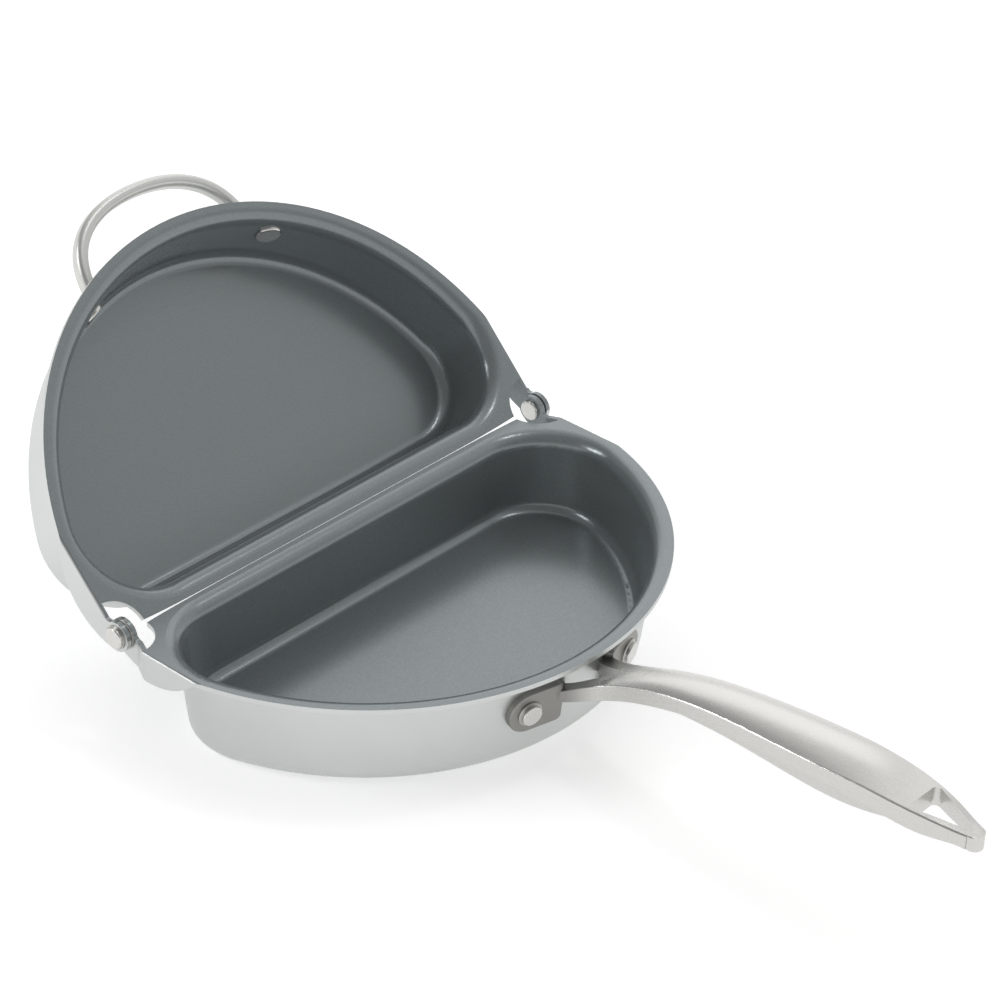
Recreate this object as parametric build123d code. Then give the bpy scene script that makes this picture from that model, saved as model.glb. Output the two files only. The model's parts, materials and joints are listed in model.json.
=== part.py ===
from build123d import *
import os
from math import cos, radians, sin, sqrt, tan

# Double sided flip pan: two half-round pans hinged along their straight sides.
# Millimetres, +Z up. The origin is the middle of the lower pan's flat base. The hinge axis runs
# along Y on the -X side, the long handle points along +X and the upper pan stands open over -X.

os.makedirs("parts", exist_ok=True)

# ---- Driving dimensions -------------------------------------------------------------------

rim_diameter = 249.0         # across the round rim of each pan
rim_height = 42.0            # hinge axis, and so the rims when shut, above the base
upper_depth = 37.5           # the upper pan's base from the same axis
sheet = 2.0                  # pan metal in the walls, rim and ears
base_sheet = 7.5             # thick base that spreads the heat
rim_centre = 11.8            # hinge axis to the centre of the round rim
rim_width = 8.3              # round rim edge to the inside wall
straight_wall = 8.5          # hinge axis to the inside of the straight wall
corner_radius = 29.0         # inside corners between the straight and the round wall
round_draft = 6.0            # degrees that the round wall leans in towards the floor
straight_draft = 2.5         # the same for the straight wall
floor_fillet = 5.0           # inside radius between wall and floor
base_fillet = 7.0            # outside radius between wall and base
rim_roll = 6.5               # radius that rolls the rim over into the inside wall
rim_root = 3.0               # radius under the rim, outside
rim_slot = 0.3               # gap between the two straight rims, in the middle of the hinge
rim_slot_ends = 1.3          # the same gap beside the ears
shut_gap = 0.3               # between the two rims when the pan is shut
open_tilt = 45.0             # degrees that the upper pan's rim stands above level at rest
base_offset = 65.0           # hinge axis to the middle of the base

ear_inset = 3.5              # outer face of the ears inside the rim's half width
ear_lobe = 6.2               # radius of the ear round its pin
ear_lobe_foot = 232.0        # degrees round the lobe to where its lower edge leaves it
ear_depth = 12.0             # deepest point of the ear under the rim
ear_deepest = 12.0           # that point's distance from the hinge axis
ear_bend = 1.2               # outside bend where the rim folds down into the ear
ear_neck = 2.5               # radius between the lobe and the rim
notch_radius = 13.7          # round notch in the rim that clears the other pan's lobe
notch_inset = 1.3            # outer face of the ears to the notch centre
jog_start = 15.0             # where the lower pan's ear starts to step inwards
jog_end = 8.5                # where that step is complete
jog_radius = 2.4             # inside bends of the step

pin_radius = 2.5             # hinge rivet shank
pin_clearance = 0.06         # shank in the upper pan's ear, all round
side_clearance = 0.05        # flat running faces of the hinge
hinge_head_radius = 4.4
hinge_head = 1.4             # head thickness of the hinge rivet
hinge_head_round = 0.7
hinge_washer_radius = 4.9
hinge_washer = 0.6
spacer_radius = 5.8
spacer = 0.5
spring_radius = 5.3
spring_height = 0.7          # free height of the coned spring washer
spring_sheet = 0.4

rivet_shank = 2.6            # radius of the handle rivets
rivet_head_radius = 4.3
rivet_head = 1.5
rivet_head_round = 0.5
rivet_inside_radius = 5.6    # low head inside the pan
rivet_inside = 1.5
rivet_inside_round = 1.05
rivet_washer_radius = 5.3
rivet_washer = 0.9
rivet_washer_edge = 0.33     # chamfer round its outer face
foot_thickness = 2.6         # handle foot, at its rivet
foot_edge = 0.7              # rounding along the foot's outer face
foot_corner = 0.3            # rounding of the foot's inner corners as a share of its half height

handle_foot_angle = 14.0     # degrees from the handle's centre line to each foot's rivet
handle_foot_radius = 9.0     # round end of the foot, and half its height
handle_foot_length = 15.5    # rivet to the foot's inner end
handle_rivet_depth = 17.8    # under the rim
handle_length = 174.4        # rim edge to the end of the handle
handle_nose = 4.2            # radius of the rounded end
handle_edge = 1.0            # rounding along the handle's two upper edges
fork_apex = 12.2             # rim edge to the bottom of the fork
fork_width = 22.0            # opening of the fork inside the pan wall
fork_round = 2.0
hang_hole_start = 147.9      # wide end of the hang hole, from the rim edge
hang_hole_end = 170.4        # narrow end
hang_hole_width = 16.2
hang_hole_round = 2.2        # corners at the wide end
hang_hole_tip = 1.2          # round narrow end

loop_foot_angle = 25.2       # degrees from the loop's centre line to each foot's rivet
loop_foot_radius = 5.4
loop_foot_length = 12.5
loop_rivet_depth = 10.8      # under the upper pan's rim
loop_depth = 12.1            # the loop's bar under the same rim
loop_root_angle = 21.5       # degrees from the centre line to where each leg leaves the wall
loop_reach = 18.4            # rim edge to the middle of the loop's outer bar
loop_shoulder = (7.9, 33.8)  # out from the rim edge and from the centre line
loop_bar = (5.4, 6.6)        # across the loop and along the wall
loop_bar_round = 2.2

# Long handle, from the fork to the tip. Each station: distance from the rim edge, half width,
# height of the upper edges and of the lower edges above the hinge axis, and crown in the middle.
handle_stations = [
    (-10.3, 19.0, -13.6, -18.0, 0.2),
    (-2.3, 14.2, -11.2, -17.0, 0.4),
    (4.7, 11.2, -7.9, -14.6, 0.9),
    (12.2, 9.6, -4.6, -11.4, 1.5),
    (20.7, 9.2, -1.2, -7.8, 2.0),
    (34.7, 9.7, 3.5, -2.8, 2.6),
    (55.7, 10.7, 7.9, 2.4, 3.0),
    (78.7, 11.9, 10.4, 4.9, 3.2),
    (101.7, 12.9, 11.8, 6.2, 3.2),
    (120.7, 12.8, 12.6, 6.8, 2.4),
    (131.7, 12.2, 12.6, 6.0, 1.4),
    (139.7, 11.6, 12.2, 4.8, 0.6),
    (146.7, 10.7, 11.6, 3.8, 0.3),
    (153.7, 9.4, 10.8, 3.2, 0.3),
    (160.7, 7.6, 9.7, 3.2, 0.3),
    (167.7, 5.4, 8.5, 3.0, 0.2),
    (178.7, 3.2, 6.6, 2.4, 0.2),
]
# Belly set in under the grip. Each station: distance from the rim edge, half width, height of
# its top, which lies inside the grip, and of its underside.
belly_stations = [
    (27.7, 7.2, -1.3, -4.2),
    (41.7, 8.8, 2.9, -2.8),
    (55.7, 9.4, 6.4, -1.7),
    (78.7, 10.5, 8.9, -1.2),
    (101.7, 11.4, 10.2, -1.7),
    (120.7, 11.3, 10.8, -1.4),
    (131.7, 10.8, 10.0, 0.0),
    (141.2, 10.2, 8.6, 2.0),
]
belly_taper = 0.86           # underside width of the belly as a share of its upper width
belly_round = 2.0            # its lower edges

# ---- Worked out from the above ------------------------------------------------------------

rim_radius = rim_diameter / 2
rim_top = -shut_gap / 2      # rim face below the hinge axis, in the pan's own frame
rim_reach = rim_centre + rim_radius
cavity_radius = rim_radius - rim_width
ear_reach = rim_radius - ear_inset
ear_end = rim_centre + sqrt(rim_radius**2 - ear_reach**2)
ear_gap = spacer + spring_height + side_clearance
inner_ear_reach = ear_reach - sheet - ear_gap
far = 4 * rim_radius         # longer than anything in the pan
close = 0.01                 # edges this near a face or plane lie on it

# Each pan is made in its own frame: hinge axis along Y through the origin, rim in the XY plane,
# opening upwards, round side towards +X.
lower_place = Pos(-base_offset, 0, rim_height)
upper_place = Pos(-base_offset, 0, rim_height) * Rot(0, open_tilt, 0) * Rot(0, 0, 180)


def both_sides(shape):
    """The shape and its mirror image across the hinge's middle."""
    return shape + mirror(shape, about=Plane.XZ)


# ---- Pan ----------------------------------------------------------------------------------


def drafted_form(wall, depth, start):
    """Half-round solid bounded by the wall surface that lies `wall` outside the cavity's."""
    radius = cavity_radius + wall
    round_side = Cone(
        radius - depth * tan(radians(round_draft)),
        radius,
        depth,
        align=(Align.CENTER, Align.CENTER, Align.MAX),
    )
    straight = straight_wall - wall
    straight_side = Polyline(
        (straight, start),
        (straight + depth * tan(radians(straight_draft)), start - depth),
        (far, start - depth),
        (far, start),
        close=True,
    )
    half = extrude(Plane.XZ * make_face(straight_side), amount=far, both=True)
    form = (Pos(rim_centre, 0, start) * round_side) & half
    ends = form.faces().sort_by(Axis.X)[0].edges().sort_by(Axis.Y)
    return fillet([ends[0], ends[-1]], corner_radius + wall)


def outside_form(depth):
    return drafted_form(sheet, depth + rim_top, rim_top)


def cavity_form(depth):
    return drafted_form(0, depth - base_sheet, 0)


def rim_outline():
    """Flat rim: round outside, straight ends for the ears, bowed hinge edge, two notches."""
    middle = rim_slot / 2
    end = rim_slot_ends / 2
    edge = ThreePointArc((end, -ear_reach), (middle, 0), (end, ear_reach))
    back = Polyline((end, ear_reach), (far, ear_reach), (far, -ear_reach), (end, -ear_reach))
    strip = make_face([edge, back])
    notch = Pos(0, ear_reach - notch_inset) * Circle(notch_radius)
    return (strip & Pos(rim_centre, 0) * Circle(rim_radius)) - both_sides(notch)


def ear_profile(with_lobe):
    """Side view of an ear: a bellied strap that runs out at the rim, and a lobe round the pin."""
    lean = radians(ear_lobe_foot)
    start = (ear_lobe * cos(lean), ear_lobe * sin(lean))
    end = (ear_end, rim_top - sheet)
    belly = ThreePointArc(start, (ear_deepest, -ear_depth), end)
    top = Polyline(end, (ear_end, rim_top), (0, rim_top), start)
    strap = make_face([belly, top])
    if not with_lobe:
        return strap
    whole = strap + Circle(ear_lobe)
    neck = whole.vertices().sort_by_distance((ear_lobe, rim_top))[0]
    hook = Pos(ear_lobe + ear_neck, 0) * Rectangle(far, far, align=(Align.MAX, Align.CENTER))
    return fillet(neck, ear_neck) & hook


def ear(step, with_lobe):
    """Ear at +Y, folded down from the rim, its lobe stepped inwards by `step`."""
    middle = ear_reach - sheet / 2
    if step:
        line = FilletPolyline(
            (ear_end, middle),
            (jog_start, middle),
            (jog_end, middle - step),
            (-ear_lobe, middle - step),
            radius=jog_radius,
        )
    else:
        line = Line((ear_end, middle), (-ear_lobe, middle))
    plan = extrude(trace(line, line_width=sheet), amount=far, both=True)
    side = extrude(Plane.XZ * ear_profile(with_lobe), amount=far, both=True)
    return plan & side


def half_pan(depth, ear_step, pin_hole):
    """One pan: D shaped tray with a thicker base, rolled rim and two folded ears."""
    tray = outside_form(depth)
    tray = fillet(tray.edges().group_by(Axis.Z)[0], base_fillet)
    rim = extrude(Pos(0, 0, rim_top) * rim_outline(), amount=sheet, dir=(0, 0, -1))
    body = tray + rim
    under_rim = body.faces().filter_by(Axis.Z).sort_by(Axis.Z)[-2]
    body = fillet(under_rim.inner_wires()[0].edges(), rim_root)
    cavity = cavity_form(depth)
    body -= fillet(cavity.edges().group_by(Axis.Z)[0], floor_fillet)
    rim_face = body.faces().filter_by(Axis.Z).sort_by(Axis.Z)[-1]
    body = fillet(rim_face.inner_wires()[0].edges(), rim_roll)
    body += both_sides(ear(ear_step, with_lobe=False))
    folds = body.edges().filter_by(Axis.X)
    folds = folds.filter_by_position(Axis.Z, rim_top - close, rim_top + close)
    folds = [fold for fold in folds if abs(abs(fold.center().Y) - ear_reach) < close]
    body = fillet(folds, ear_bend)
    body += both_sides(ear(ear_step, with_lobe=True))
    pins = Rot(90, 0, 0) * Cylinder(pin_hole, far)
    return body - pins


# ---- Rivets, washers and handle feet ------------------------------------------------------


def wall_frame(angle, depth):
    """Frame on the round wall's outside: Z points out along the rivet, X along the wall."""
    round_angle = radians(angle)
    lean = radians(round_draft)
    radius = cavity_radius + sheet - depth * tan(lean)
    origin = (rim_centre + radius * cos(round_angle), radius * sin(round_angle), -depth)
    out = (cos(round_angle) * cos(lean), sin(round_angle) * cos(lean), -sin(lean))
    along = (-sin(round_angle), cos(round_angle), 0)
    return Plane(origin=origin, x_dir=along, z_dir=out)


def disc(radius, thickness, start):
    """Cylinder that starts at height `start` above its frame."""
    return Pos(0, 0, start) * Cylinder(
        radius, thickness, align=(Align.CENTER, Align.CENTER, Align.MIN)
    )


def rivet(frame):
    """Handle rivet: low head inside the pan, shank through wall and foot, raised head outside."""
    seat = foot_thickness + rivet_washer
    inside = disc(rivet_inside_radius, rivet_inside + sheet, -rivet_inside - sheet)
    inside = fillet(inside.edges().group_by(Axis.Z)[0], rivet_inside_round)
    inside = (frame * inside) & cavity_form(rim_height)
    outside = disc(rivet_head_radius, rivet_head, seat)
    outside = fillet(outside.edges().group_by(Axis.Z)[-1], rivet_head_round)
    shank = disc(rivet_shank, seat + sheet + rivet_inside / 2, -sheet - rivet_inside / 2)
    return inside + frame * (shank + outside)


def rivet_ring(frame):
    """Round washer between a handle foot and the rivet's outside head."""
    ring = disc(rivet_washer_radius, rivet_washer, foot_thickness)
    ring = chamfer(ring.edges().group_by(Axis.Z)[-1], rivet_washer_edge)
    return frame * (ring - disc(rivet_shank, far, 0))


def foot(frame, radius, length, inward):
    """Flat foot with a round outer end, curved at the back to sit on the wall."""
    tongue = Pos(inward * length / 2, 0) * Rectangle(length, 2 * radius)
    corners = tongue.vertices().sort_by(Axis.X)
    corners = corners[2:] if inward > 0 else corners[:2]
    plate = fillet(corners, radius * foot_corner) + Circle(radius)
    pad = extrude(plate, amount=foot_thickness)
    pad = fillet(pad.edges().group_by(Axis.Z)[-1], foot_edge)
    pad += extrude(plate, amount=-foot_thickness)
    return frame * (pad - disc(rivet_shank, far, -far / 2))


# ---- Long handle --------------------------------------------------------------------------


def across(distance):
    """Plane across the handle: X along +Y, Y up, at this distance outside the rim edge."""
    return Plane(origin=(rim_reach + distance, 0, 0), x_dir=(0, 1, 0), z_dir=(1, 0, 0))


def handle_section(station):
    """Crowned top with rounded edges, and a flat underside."""
    distance, half, upper, lower, crown = station
    top = ThreePointArc((-half, upper), (0, upper + crown), (half, upper))
    rest = Polyline((half, upper), (half, lower), (-half, lower), (-half, upper))
    outline = make_face([top, rest])
    edges = outline.vertices().group_by(Axis.Y)[-1]
    return across(distance) * fillet(edges, handle_edge)


def belly_section(station):
    """Sides leaning in to a narrower underside with rounded edges."""
    distance, half, upper, lower = station
    low_half = half * belly_taper
    corners = Polyline(
        (-half, upper),
        (-low_half, lower),
        (low_half, lower),
        (half, upper),
        close=True,
    )
    outline = make_face(corners)
    edges = outline.vertices().group_by(Axis.Y)[0]
    return across(distance) * fillet(edges, belly_round)


def handle_fork():
    """V shaped gap between the two arms at the pan, rounded at its bottom."""
    half = fork_width / 2
    inside_wall = rim_centre + cavity_radius - sheet
    corners = Polyline(
        (rim_reach + fork_apex, 0),
        (inside_wall, half),
        (inside_wall, -half),
        close=True,
    )
    vee = make_face(corners)
    apex = vee.vertices().sort_by(Axis.X)[-1]
    return extrude(fillet(apex, fork_round), amount=far, both=True)


def hang_hole():
    """Three cornered hole with rounded corners near the tip."""
    wide_end = rim_reach + hang_hole_start + hang_hole_round
    side = hang_hole_width / 2 - hang_hole_round
    narrow_end = rim_reach + hang_hole_end - hang_hole_tip
    corners = both_sides(Pos(wide_end, side) * Circle(hang_hole_round))
    corners += Pos(narrow_end, 0) * Circle(hang_hole_tip)
    return extrude(make_hull(corners.edges()), amount=far, both=True)


def long_handle():
    grip = loft([handle_section(station) for station in handle_stations])
    belly = loft([belly_section(station) for station in belly_stations])
    nose_centre = rim_reach + handle_length - handle_nose
    nose = Pos(nose_centre, 0) * Circle(handle_nose)
    shank = Pos(nose_centre, 0) * Rectangle(far, far, align=(Align.MAX, Align.CENTER))
    grip &= extrude(nose + shank, amount=far, both=True)
    grip += belly
    grip -= handle_fork()
    for frame, inward in handle_feet:
        grip += foot(frame, handle_foot_radius, handle_foot_length, inward)
    return grip - outside_form(rim_height) - hang_hole()


# ---- Loop handle --------------------------------------------------------------------------


def loop_handle():
    """Cast bar bent into an arch, with a riveted foot at each end."""
    root_angle = radians(loop_root_angle)
    root = (rim_centre + cavity_radius * cos(root_angle), cavity_radius * sin(root_angle))
    shoulder = (rim_reach + loop_shoulder[0], loop_shoulder[1])
    path = Spline(
        (root[0], root[1], -loop_depth),
        (shoulder[0], shoulder[1], -loop_depth),
        (rim_reach + loop_reach, 0, -loop_depth),
        (shoulder[0], -shoulder[1], -loop_depth),
        (root[0], -root[1], -loop_depth),
    )
    section = Plane(origin=path @ 0, x_dir=(0, 0, 1), z_dir=path % 0)
    across_bar, along_wall = loop_bar
    bar = sweep(section * RectangleRounded(along_wall, across_bar, loop_bar_round), path=path)
    for frame, inward in loop_feet:
        bar += foot(frame, loop_foot_radius, loop_foot_length, inward)
    return bar - outside_form(upper_depth)


# ---- Hinge hardware at +Y -----------------------------------------------------------------


def along_hinge(shape):
    """Turn a piece made along +Z so that it lies along +Y."""
    return Rot(-90, 0, 0) * shape


def ring(radius, thickness, start):
    return along_hinge(disc(radius, thickness, start) - disc(pin_radius, far, 0))


def hinge_rivet():
    inner_face = inner_ear_reach - sheet
    outer_face = ear_reach + side_clearance + hinge_washer
    inner = disc(hinge_head_radius, hinge_head, inner_face - hinge_head)
    inner = fillet(inner.edges().group_by(Axis.Z)[0], hinge_head_round)
    outer = disc(hinge_head_radius, hinge_head, outer_face)
    outer = fillet(outer.edges().group_by(Axis.Z)[-1], hinge_head_round)
    shank = disc(pin_radius, outer_face - inner_face, inner_face)
    return along_hinge(inner + shank + outer)


def spring_washer():
    """Coned disc between the spacer and the upper pan's ear."""
    start = inner_ear_reach + spacer
    rise = spring_height - spring_sheet
    outline = Polyline(
        (pin_radius, start + rise),
        (spring_radius, start),
        (spring_radius, start + spring_sheet),
        (pin_radius, start + spring_height),
        close=True,
    )
    cone = revolve(Plane.XZ * make_face(outline), axis=Axis.Z)
    return along_hinge(cone)


# ---- Assembly -----------------------------------------------------------------------------

handle_feet = [
    (wall_frame(side * handle_foot_angle, handle_rivet_depth), -side) for side in (1, -1)
]
loop_feet = [(wall_frame(side * loop_foot_angle, loop_rivet_depth), -side) for side in (1, -1)]


def drilled(pan, feet):
    """Pan with a hole through its wall for each foot's rivet."""
    round_half = Pos(far / 2 + rim_centre, 0) * Box(far, far, far)
    for frame, _ in feet:
        pan -= frame * disc(rivet_shank, far, -far / 2) & round_half
    return pan


pieces = {
    "lower_pan": lower_place * drilled(half_pan(rim_height, sheet + ear_gap, pin_radius), handle_feet),
    "upper_pan": upper_place * drilled(half_pan(upper_depth, 0, pin_radius + pin_clearance), loop_feet),
    "long_handle": lower_place * long_handle(),
    "loop_handle": upper_place * loop_handle(),
}
for name, frame in (("left", handle_feet[1][0]), ("right", handle_feet[0][0])):
    pieces[f"handle_rivet_{name}"] = lower_place * rivet(frame)
    pieces[f"handle_rivet_washer_{name}"] = lower_place * rivet_ring(frame)
# The upper pan's frame is turned round, so its +Y foot is the one on the left.
for name, frame in (("left", loop_feet[0][0]), ("right", loop_feet[1][0])):
    pieces[f"loop_rivet_{name}"] = upper_place * rivet(frame)
    pieces[f"loop_rivet_washer_{name}"] = upper_place * rivet_ring(frame)

hinge_pieces = {
    "hinge_rivet": hinge_rivet(),
    "hinge_washer": ring(hinge_washer_radius, hinge_washer, ear_reach + side_clearance),
    "hinge_spacer": ring(spacer_radius, spacer, inner_ear_reach),
    "hinge_spring": spring_washer(),
}
for name, piece in hinge_pieces.items():
    pieces[f"{name}_right"] = lower_place * piece
    pieces[f"{name}_left"] = lower_place * mirror(piece, about=Plane.XZ)

for name, piece in pieces.items():
    piece.label = name
    export_step(piece, f"parts/{name}.step")
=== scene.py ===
import json
from math import cos, radians, sin, sqrt

import bpy
from mathutils import Euler, Matrix, Vector


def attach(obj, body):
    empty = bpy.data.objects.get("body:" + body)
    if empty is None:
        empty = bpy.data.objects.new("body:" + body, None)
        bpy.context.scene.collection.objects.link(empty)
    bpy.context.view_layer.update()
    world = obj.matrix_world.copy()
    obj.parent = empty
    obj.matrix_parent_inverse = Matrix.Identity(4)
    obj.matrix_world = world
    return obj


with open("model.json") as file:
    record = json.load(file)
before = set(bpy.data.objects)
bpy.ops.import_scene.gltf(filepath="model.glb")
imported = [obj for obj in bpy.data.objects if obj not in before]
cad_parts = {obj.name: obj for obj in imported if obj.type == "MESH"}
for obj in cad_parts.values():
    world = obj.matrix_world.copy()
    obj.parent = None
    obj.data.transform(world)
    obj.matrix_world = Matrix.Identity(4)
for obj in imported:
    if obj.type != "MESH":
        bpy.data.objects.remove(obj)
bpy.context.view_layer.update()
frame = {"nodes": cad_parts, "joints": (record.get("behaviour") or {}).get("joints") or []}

# ---- Half-round pans ----------------------------------------------------------------------
# Two half-round aluminium trays with thin walls, a thick base, a flat rim and folded hinge ears.
# Outside they are bead blasted and satin; inside and on top of the rim they carry a baked grey
# non-stick coat with fine mineral flecks. The upper one is a little shallower than the lower.


class Socket:
    """An output of a node. Arithmetic on it adds the Math nodes that work it out."""

    def __init__(self, tree, output):
        self.tree = tree
        self.output = output

    def maths(self, operation, *others):
        return self.tree.node("Math", {"operation": operation}, dict(enumerate((self, *others))))

    def __add__(self, other):
        return self.maths("ADD", other)

    __radd__ = __add__

    def __mul__(self, other):
        return self.maths("MULTIPLY", other)

    __rmul__ = __mul__

    def __rsub__(self, other):
        return self * -1 + other

    def __gt__(self, other):
        return self.maths("GREATER_THAN", other)


class Tree:
    """The node tree of a finish or of the room."""

    def __init__(self, tree):
        self.nodes = tree.nodes
        self.links = tree.links

    def node(self, kind, settings=None, inputs=None, output=0):
        """A new node: its settings first, then the values or links of its sockets."""
        made = self.nodes.new("ShaderNode" + kind)
        for name, value in (settings or {}).items():
            setattr(made, name, value)
        self.connect(made, inputs or {})
        return Socket(self, made.outputs[output])

    def connect(self, target, inputs):
        """Link each socket of the target that is given a Socket, and set the others."""
        for name, value in inputs.items():
            if isinstance(value, Socket):
                self.links.new(value.output, target.inputs[name])
            else:
                target.inputs[name].default_value = value

    def between(self, value, low, high):
        """0 where value is below low and 1 above high, smooth in between."""
        limits = {"Value": value, "From Min": low, "From Max": high}
        return self.node("MapRange", {"interpolation_type": "SMOOTHSTEP"}, limits)


class Finish(Tree):
    """The finish of one of the pan's pieces: a Principled shader and the nodes that feed it."""

    def __init__(self, name, **constants):
        self.material = bpy.data.materials.new(name)
        self.material.use_nodes = True
        super().__init__(self.material.node_tree)
        self.shader = self.nodes["Principled BSDF"]
        self.feed(**constants)

    def feed(self, **inputs):
        """Set or link the shader's own sockets, Base_Color for Base Color."""
        self.connect(self.shader, {name.replace("_", " "): value for name, value in inputs.items()})

    def blend(self, share, first, second):
        """The first colour where share is 0 and the second where it is 1."""
        return self.node("Mix", {"data_type": "RGBA"}, {0: share, 6: first, 7: second}, output=2)

    def grain(self, place, cells, detail=3.0):
        """Noise from 0 to 1 with so many cells to the metre."""
        return self.node("TexNoise", None, {"Vector": place, "Scale": cells, "Detail": detail})

    def relief(self, height, strength):
        """The normal of a surface that stands grain_depth proud where height is 1."""
        return self.node("Bump", None, {"Strength": strength, "Distance": grain_depth, "Height": height})

    def wear(self, *nodes):
        """Give this finish to CAD nodes."""
        for name in nodes:
            part = frame["nodes"][name]
            part.data.materials.clear()
            part.data.materials.append(self.material)


MM = 0.001
hinge = Vector(frame["joints"][0]["pos_m"])
pan_turns = {"lower_pan": (0, 0, 0), "upper_pan": (0, radians(-45), radians(180))}
mouth = (55 * MM, 0, 60 * MM)         # a point above the tray, in the pan's own frame
ear_side = 119 * MM                   # beyond this an upright face belongs to an ear
upright, level = 0.3, 0.6             # Z of the normal on an ear's side and on the rim's top
facing_in = 0.06                      # cosine of the angle to the mouth at which the coat is full
coat_colour = (0.215, 0.24, 0.246, 1)
coat_flecks = (0.275, 0.30, 0.307, 1)
satin_dark = (0.575, 0.592, 0.582, 1)
satin_light = (0.63, 0.648, 0.638, 1)
fleck_cells, mottle_cells = 2600, 14  # to the metre
fleck_range = (0.35, 0.75)            # noise with no fleck, and with a full one
mottle_range = (0.3, 0.7)
grain_depth = 0.1 * MM

pan_finishes = {}
for name, turn in pan_turns.items():
    pan = Finish(name + "_finish")
    place = pan.node("TexCoord", output="Object")
    normal = pan.node("TexCoord", output="Normal")
    shift = {"Vector": place, "Location": hinge, "Rotation": turn}
    own = pan.node("Mapping", {"vector_type": "TEXTURE"}, shift)
    own_normal = pan.node("Mapping", {"vector_type": "TEXTURE"}, {"Vector": normal, "Rotation": turn})
    aim = pan.node("VectorMath", {"operation": "SUBTRACT"}, {0: mouth, 1: own})
    aim = pan.node("VectorMath", {"operation": "NORMALIZE"}, {0: aim})
    inward = pan.node("VectorMath", {"operation": "DOT_PRODUCT"}, {0: aim, 1: own_normal}, output="Value")
    side = pan.node("SeparateXYZ", None, {0: own}, output="Y").maths("ABSOLUTE")
    up = pan.node("SeparateXYZ", None, {0: own_normal}, output="Z")
    on_ear = (side > ear_side) * (1 - pan.between(up, upright, level))
    coated = pan.between(inward, 0, facing_in) * (1 - on_ear)
    flecks = pan.grain(place, fleck_cells, detail=2)
    mottle = pan.grain(place, mottle_cells)
    coat = pan.blend(pan.between(flecks, *fleck_range), coat_colour, coat_flecks)
    satin = pan.blend(pan.between(mottle, *mottle_range), satin_dark, satin_light)
    pan.feed(
        Base_Color=pan.blend(coated, satin, coat),
        Metallic=1 - coated * 0.5,
        Roughness=0.40 - coated * 0.18 + 0.04 * mottle,
        Normal=pan.relief(flecks, 0.03),
    )
    pan.wear(name)
    pan_finishes[name] = pan

# ---- Hinge edge of the rims ---------------------------------------------------------------
# The straight edge of each flat rim reaches almost to the hinge's axis. It leaves a hairline gap
# to the other rim in the middle and a little more beside the ears, and has the pan's own coat.

rim_top, rim_under = -0.15, -2.15     # mm from the hinge's axis, in the pan's own frame
gap_middle, gap_ends = 0.02, 0.85     # mm, half the gap between the rims
gap_power = 8                         # the higher, the closer to the ears the gap opens
notch_place, notch_radius = 119.7, 13.7    # mm, the round notch at each end, beside the ear
groove_steps, edge_steps = 6, 24      # across the groove, and from the middle to each end
bodies = {"lower_pan": "lower_half", "upper_pan": "upper_half"}
grooves = {"lower_pan": 2.5, "upper_pan": 2.56}    # mm, radius of the groove that the edge fills
for name, groove in grooves.items():
    points = []
    for step in range(-edge_steps, edge_steps + 1):
        along = step / edge_steps
        gap = gap_middle + (gap_ends - gap_middle) * along**gap_power
        heights = [rim_top + (rim_under - rim_top) * row / groove_steps for row in range(groove_steps + 1)]
        section = [(sqrt(groove**2 - height**2), height) for height in heights]
        section += [(gap, rim_under), (gap, rim_top)]
        for out, height in section:
            end = notch_place - sqrt(notch_radius**2 - out**2)
            points.append(Vector((out, along * end, height)) * MM)
    count = len(section)
    faces = [list(range(count))[::-1], list(range(len(points) - count, len(points)))]
    for row in range(2 * edge_steps):
        here, beyond = row * count, (row + 1) * count
        for corner in range(count):
            following = (corner + 1) % count
            faces.append([here + corner, here + following, beyond + following, beyond + corner])
    mesh = bpy.data.meshes.new(name + "_rim_edge")
    mesh.from_pydata(points, [], faces)
    mesh.transform(Matrix.Translation(hinge) @ Euler(pan_turns[name]).to_matrix().to_4x4())
    mesh.materials.append(pan_finishes[name].material)
    edge = bpy.data.objects.new(name + "_rim_edge", mesh)
    bpy.context.scene.collection.objects.link(edge)
    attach(edge, bodies[name])

# ---- Long handle --------------------------------------------------------------------------
# Cast stainless steel. Its two feet are blasted and riveted to the lower pan's round wall, and
# the grip is brushed along its length. The feet also carry a painted dark reflection: their colour is
# darker than the grip's.

feet_end, grip_start = 0.066, 0.080   # metres along X, where the blasted feet with their painted dark reflection give way to brushing
# the feet's colour, darkened as a painted dark reflection
feet_painted_reflection_colour = (0.29, 0.285, 0.27, 1)
grip_dark = (0.60, 0.592, 0.57, 1)
grip_light = (0.63, 0.622, 0.60, 1)
brush_cells, brush_stretch = 2500, (0.02, 1, 1)
handle = Finish("handle_finish", Metallic=1.0)
place = handle.node("TexCoord", output="Object")
stretched = handle.node("VectorMath", {"operation": "MULTIPLY"}, {0: place, 1: brush_stretch})
brushed = handle.grain(stretched, brush_cells, detail=4)
out = handle.node("SeparateXYZ", None, {0: place}, output="X")
grip = handle.between(out, feet_end, grip_start)
# Where grip is 0 the colour is the feet's painted dark reflection; the grip is brushed steel.
handle.feed(
    Base_Color=handle.blend(grip, feet_painted_reflection_colour, handle.blend(brushed, grip_dark, grip_light)),
    Roughness=0.36 - grip * 0.12 + 0.06 * brushed,
    Normal=handle.relief(brushed, 0.02),
)
handle.wear("long_handle")

# ---- Loop handle --------------------------------------------------------------------------
# A cast loop of the same steel, blasted all over. Its two feet are riveted to the upper pan's
# round wall, opposite the long handle when the pan is open flat.

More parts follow.
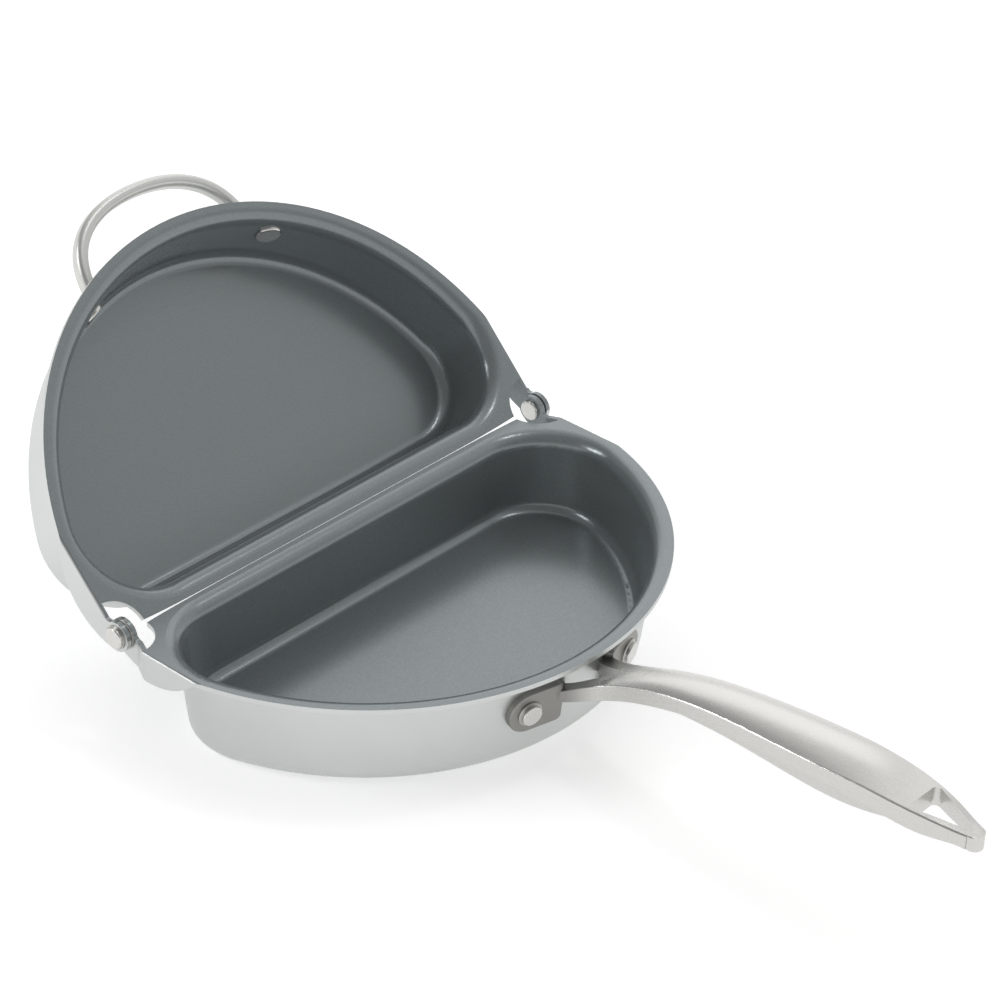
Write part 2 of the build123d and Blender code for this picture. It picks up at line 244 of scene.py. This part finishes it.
loop_dark = (0.56, 0.56, 0.54, 1)
loop_light = (0.66, 0.66, 0.64, 1)
blast_cells = 1800
loop = Finish("loop_finish", Metallic=1.0)
place = loop.node("TexCoord", output="Object")
blasted = loop.grain(place, blast_cells)
loop.feed(
    Base_Color=loop.blend(blasted, loop_dark, loop_light),
    Roughness=0.33 + 0.1 * blasted,
    Normal=loop.relief(blasted, 0.15),
)
loop.wear("loop_handle")

# ---- Rivets and washers -------------------------------------------------------------------
# Turned stainless rivets with bright heads. Their washers and the hinge's are stamped steel,
# a little duller.

sides = ("left", "right")
rivet_kinds = ("handle_rivet", "loop_rivet", "hinge_rivet")
rivet_dark = (0.62, 0.61, 0.59, 1)
rivet_light = (0.68, 0.67, 0.65, 1)
turned_cells = 1200
rivet = Finish("rivet_finish", Metallic=1.0)
turned = rivet.grain(rivet.node("TexCoord", output="Object"), turned_cells)
rivet.feed(Base_Color=rivet.blend(turned, rivet_dark, rivet_light), Roughness=0.24 + 0.04 * turned)
rivet.wear(*[f"{kind}_{side}" for kind in rivet_kinds for side in sides])

washer_kinds = ("handle_rivet_washer", "loop_rivet_washer", "hinge_washer", "hinge_spacer", "hinge_spring")
washer_dark = (0.44, 0.43, 0.41, 1)
washer_light = (0.50, 0.49, 0.47, 1)
stamped_cells = 900
washer = Finish("washer_finish", Metallic=1.0)
stamped = washer.grain(washer.node("TexCoord", output="Object"), stamped_cells)
washer.feed(Base_Color=washer.blend(stamped, washer_dark, washer_light), Roughness=0.28 + 0.12 * stamped)
washer.wear(*[f"{kind}_{side}" for kind in washer_kinds for side in sides])

# ---- Table --------------------------------------------------------------------------------
# The pan stands on a plain matt white table. A faint glow that shows only where the table is
# seen, straight or in metal or glass, makes it pure white and leaves the pan's shadow on it.

table_half = 3.0                      # metres
table_glow = 0.4                      # where 1 is white
table_mesh = bpy.data.meshes.new("table")
corners = [(-1, -1), (1, -1), (1, 1), (-1, 1)]
table_mesh.from_pydata([(x * table_half, y * table_half, 0) for x, y in corners], [], [(0, 1, 2, 3)])
table = bpy.data.objects.new("table", table_mesh)
bpy.context.scene.collection.objects.link(table)
paint = Finish(
    "table_finish",
    Roughness=0.9,
    Base_Color=(0.95, 0.95, 0.95, 1),
    Specular_IOR_Level=0.0,
    Emission_Color=(1, 1, 1, 1),
)
seen, in_metal, in_glass = [
    paint.node("LightPath", output=f"Is {kind} Ray") for kind in ("Camera", "Glossy", "Transmission")
]
paint.feed(Emission_Strength=seen.maths("MAXIMUM", in_metal).maths("MAXIMUM", in_glass) * table_glow)
table_mesh.materials.append(paint.material)

# ---- Room and lamps -----------------------------------------------------------------------
# A pale room. Its ceiling is brightest behind the pan and dimmer towards the front. Two soft
# lamps stand behind it and on its left, and a small one hangs above and lights the trays' edges.

bright_side = (-0.1, 0.76, 0.64)      # direction from the pan to the brightest part
bright_from, bright_full = 0.4, 0.9   # cosine of the angle from it where it starts and is full
dim, bright = 0.32, 0.82              # the ceiling away from it and round it
wall_top, ceiling_start = 0.2, 0.6    # Z of the direction where the white wall ends
world = bpy.data.worlds.new("room")
bpy.context.scene.world = world
world.use_nodes = True
room = Tree(world.node_tree)
towards = room.node("TexCoord", output="Generated")
facing = room.node("VectorMath", {"operation": "DOT_PRODUCT"}, {0: towards, 1: bright_side}, output="Value")
ceiling = room.between(facing, bright_from, bright_full) * (bright - dim) + dim
height = room.node("SeparateXYZ", None, {0: towards}, output="Z")
wall = 1 - room.between(height, wall_top, ceiling_start)
room.connect(
    world.node_tree.nodes["Background"],
    {"Color": (1, 1, 1, 1), "Strength": ceiling.maths("MAXIMUM", wall)},
)


def soft_lamp(name, place, size, power):
    """A soft rectangular light that faces the pan: place and size in metres, power in watts."""
    lamp = bpy.data.lights.new(name, "AREA")
    lamp.shape = "RECTANGLE"
    lamp.size, lamp.size_y = size
    lamp.energy = power
    light = bpy.data.objects.new(name, lamp)
    bpy.context.scene.collection.objects.link(light)
    light.location = place
    light.rotation_euler = (-Vector(place)).to_track_quat("-Z", "Y").to_euler()


soft_lamp("back", (-1.1, 1.25, 1.1), (1.6, 1.2), 3.5)
soft_lamp("side", (-1.15, -1.2, 1.1), (0.8, 0.45), 8)
soft_lamp("above", (0.2, 0.9, 1.9), (0.3, 0.3), 2.2)

# ---- Camera -------------------------------------------------------------------------------
# It looks down on the open pan from the handle's side, about 1.4 m from the hinge, and is
# rolled a little. Its three axes are worked out from its azimuth, elevation and roll.

azimuth, elevation, roll = radians(40.26), radians(32.32), radians(2.59)
camera_place = hinge + Vector((785.66, -829.22, 731.81)) * MM
backward = Vector((sin(azimuth) * cos(elevation), -cos(azimuth) * cos(elevation), sin(elevation)))
level_right = (-backward).cross(Vector((0, 0, 1))).normalized()
level_up = level_right.cross(-backward)
camera_right = level_right * cos(roll) + level_up * sin(roll)
camera_up = level_up * cos(roll) - level_right * sin(roll)
camera_axes = Matrix((camera_right, camera_up, backward)).transposed().to_4x4()
sensor_width, focal_length = 36, 122.23    # mm
lens = bpy.data.cameras.new("camera")
lens.sensor_width = sensor_width
lens.lens = focal_length
camera = bpy.data.objects.new("camera", lens)
bpy.context.scene.collection.objects.link(camera)
camera.matrix_world = Matrix.Translation(camera_place) @ camera_axes
bpy.context.scene.camera = camera
bpy.context.scene.view_settings.view_transform = "Standard"
